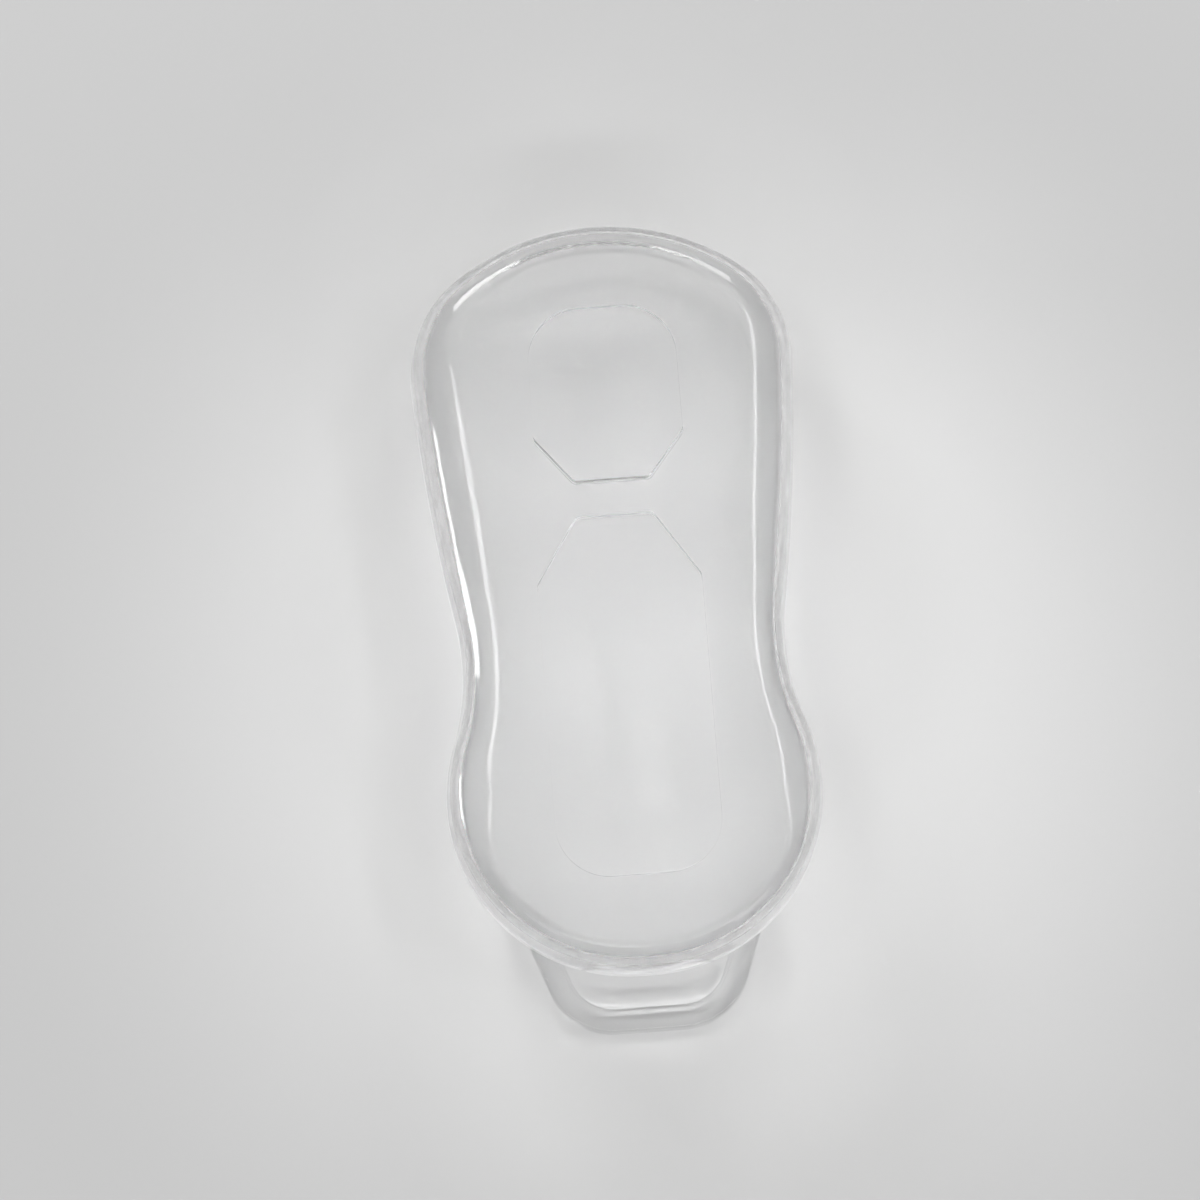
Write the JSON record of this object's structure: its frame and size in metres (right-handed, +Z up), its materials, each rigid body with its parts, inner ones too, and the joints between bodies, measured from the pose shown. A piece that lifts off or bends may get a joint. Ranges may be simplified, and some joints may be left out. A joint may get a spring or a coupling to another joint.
{
  "type": "key fob cover",
  "caption": "Clear peanut-shaped key fob cover: rear shell with a key-ring loop, front shell that lifts off, and soft press pads in the face.",
  "frame": {"origin": "bottom centre of the bounding box, on the table under the middle of the closed cover and its loop", "axes": "+X across the width, +Y from the key-ring loop towards the far end, +Z up from the back to the face"},
  "size_m": [0.0444, 0.092, 0.0173],
  "materials": {
    "clear_shell": "water-clear, polished",
    "clear_pad": "clear soft elastomer, glossy"
  },
  "bodies": {
    "rear": {"rear_shell": "clear_shell"},
    "front": {"front_shell": "clear_shell"},
    "upper_press": {"upper_pad": "clear_pad"},
    "lower_press": {"lower_pad": "clear_pad"}
  },
  "joints": [
    {"name": "front_shell_lift", "type": "slide", "parent": "rear", "child": "front", "axis": [0, 0, 1], "range_m": [0, 0.02]},
    {"name": "upper_pad_press", "type": "slide", "parent": "front", "child": "upper_press", "axis": [0, 0, -1], "range_m": [0, 0.0006], "stiffness_N_per_m": 2500},
    {"name": "lower_pad_press", "type": "slide", "parent": "front", "child": "lower_press", "axis": [0, 0, -1], "range_m": [0, 0.0006], "stiffness_N_per_m": 2500}
  ]
}
